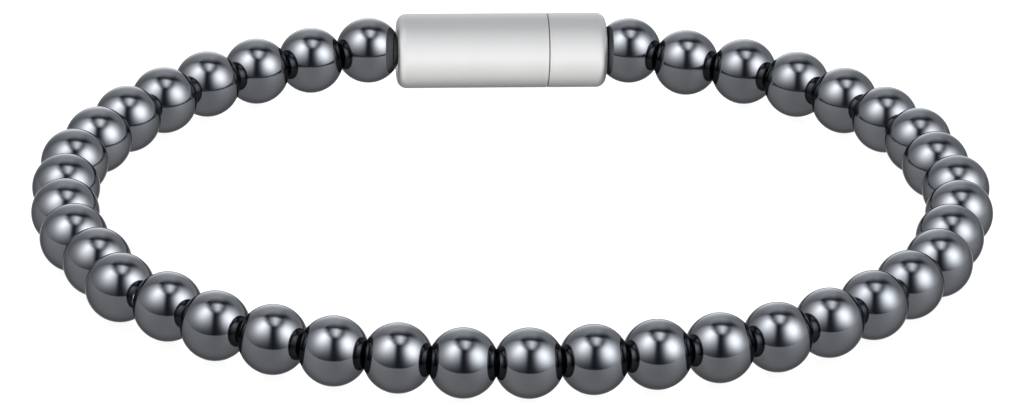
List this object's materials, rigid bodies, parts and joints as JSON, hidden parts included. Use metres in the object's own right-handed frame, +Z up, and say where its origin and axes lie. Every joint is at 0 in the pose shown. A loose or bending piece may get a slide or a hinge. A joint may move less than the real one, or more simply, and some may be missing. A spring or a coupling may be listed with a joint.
{
  "type": "beaded bracelet",
  "caption": "Closed bracelet of round polished hematite beads on a hidden thread, with a two-part steel barrel clasp, lying flat in a slightly oval loop.",
  "frame": {"origin": "under the middle of the loop's box, on the surface that the bracelet lies on", "axes": "+Z up, +Y towards the clasp at the back of the loop, +X to the right seen from the front"},
  "size_m": [0.0704, 0.0622, 0.0058],
  "materials": {
    "beads": "polished to a dark metallic mirror",
    "thread": "plain black thread",
    "clasp": "satin"
  },
  "bodies": {
    "root": {"bead_01": "beads", "bead_02": "beads", "bead_03": "beads", "bead_04": "beads", "bead_05": "beads", "bead_06": "beads", "bead_07": "beads", "bead_08": "beads", "bead_09": "beads", "bead_10": "beads", "bead_11": "beads", "bead_12": "beads", "bead_13": "beads", "bead_14": "beads", "bead_15": "beads", "bead_16": "beads", "bead_17": "beads", "bead_18": "beads", "bead_19": "beads", "bead_20": "beads", "bead_21": "beads", "bead_22": "beads", "bead_23": "beads", "bead_24": "beads", "bead_25": "beads", "bead_26": "beads", "bead_27": "beads", "bead_28": "beads", "bead_29": "beads", "bead_30": "beads", "bead_31": "beads", "bead_32": "beads", "bead_33": "beads", "bead_34": "beads", "bead_35": "beads", "bead_36": "beads", "bead_37": "beads", "bead_38": "beads", "bead_39": "beads", "thread": "thread", "clasp_barrel": "clasp", "clasp_cap": "clasp"}
  },
  "joints": []
}
